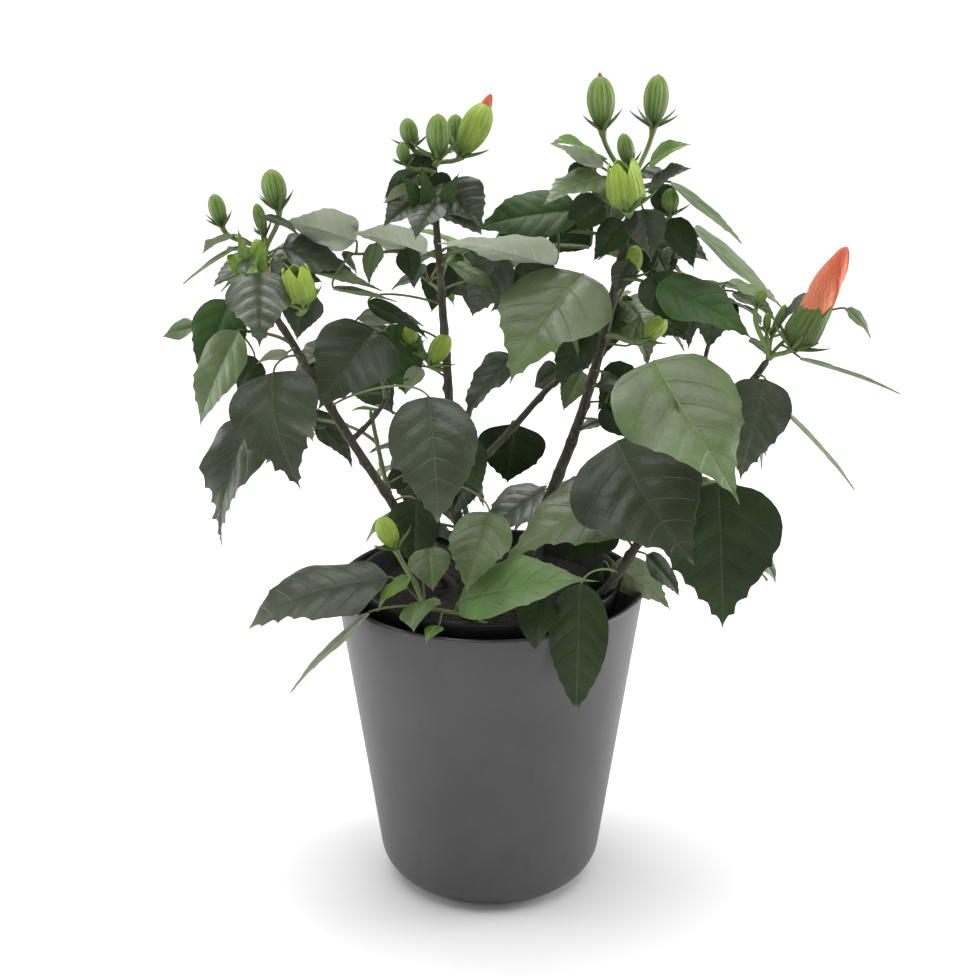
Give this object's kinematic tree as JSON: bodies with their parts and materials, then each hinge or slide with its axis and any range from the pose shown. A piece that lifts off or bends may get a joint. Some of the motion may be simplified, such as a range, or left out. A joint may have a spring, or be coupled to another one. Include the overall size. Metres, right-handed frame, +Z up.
{
  "type": "potted hibiscus shrub",
  "caption": "Young hibiscus shrub in bud: upright woody stems with toothed dark-green leaves and swelling orange buds, standing in a plain tapered grey cover pot with its nursery pot and soil.",
  "frame": {"origin": "centre of the cover pot's flat underside, on the surface that the pot stands on", "axes": "+Z up, +X to the right of the shrub's front, -Y towards its front"},
  "size_m": [0.3999, 0.2746, 0.476],
  "materials": {
    "cover_pot": "matte mid-grey, very slightly mottled, with a thin paler lip",
    "nursery_pot": "thin black moulded plastic, slightly satin",
    "soil": "dark moist potting soil, rough and crumbly",
    "bark": "dark brown young bark with fine lengthwise cracks and pale pores",
    "green_stem": "smooth green young stem and leaf stalks",
    "foliage": "satin dark green leaves with paler veins and paler undersides",
    "young_foliage": "bright yellow-green young leaves, glossier than the old ones",
    "bud": "yellow-green ribbed calyx with narrow bracts",
    "petal": "rolled orange-salmon petals with fine lengthwise veins"
  },
  "bodies": {
    "root": {"buds_right_left": "bud", "buds_right_right": "bud", "cover_pot": "cover_pot", "leaves_back_centre": "foliage", "leaves_back_centre_high": "foliage", "leaves_back_centre_low": "foliage", "leaves_back_foot": "foliage", "leaves_back_foot_left": "foliage", "leaves_back_left": "foliage", "leaves_back_left_high": "foliage", "leaves_back_left_low": "foliage", "leaves_back_right": "foliage", "leaves_back_right_low": "foliage", "leaves_back_right_mid": "foliage", "leaves_back_top": "foliage", "leaves_centre_big": "foliage", "leaves_centre_front": "foliage", "leaves_centre_inner": "foliage", "leaves_centre_right": "foliage", "leaves_centre_top": "foliage", "leaves_centre_under": "foliage", "leaves_diagonal_tip": "foliage", "leaves_foot_front": "foliage", "leaves_foot_hanging": "foliage", "leaves_foot_left": "foliage", "leaves_foot_left_low": "foliage", "leaves_foot_right": "foliage", "leaves_foot_shoot": "foliage", "leaves_green_tip": "foliage", "leaves_left_behind": "foliage", "leaves_left_inner": "foliage", "leaves_left_low": "foliage", "leaves_left_lowest": "foliage", "leaves_left_side": "foliage", "leaves_left_top": "foliage", "leaves_middle_low": "foliage", "leaves_right_arm": "foliage", "leaves_right_big": "foliage", "leaves_right_inner": "foliage", "leaves_right_low": "foliage", "leaves_right_outer": "foliage", "leaves_right_side": "foliage", "leaves_right_tip": "foliage", "leaves_right_top": "foliage", "leaves_right_upper": "foliage", "leaves_round_behind": "foliage", "nursery_pot": "nursery_pot", "soil": "soil", "stem_back": "bark", "stem_back_foot": "bark", "stem_back_left": "bark", "stem_back_low": "bark", "stem_back_right": "bark", "stem_centre": "bark", "stem_diagonal": "bark", "stem_foot": "green_stem", "stem_left": "bark", "stem_left_green": "green_stem", "stem_low_right": "bark", "stem_right": "bark"}
  },
  "joints": []
}
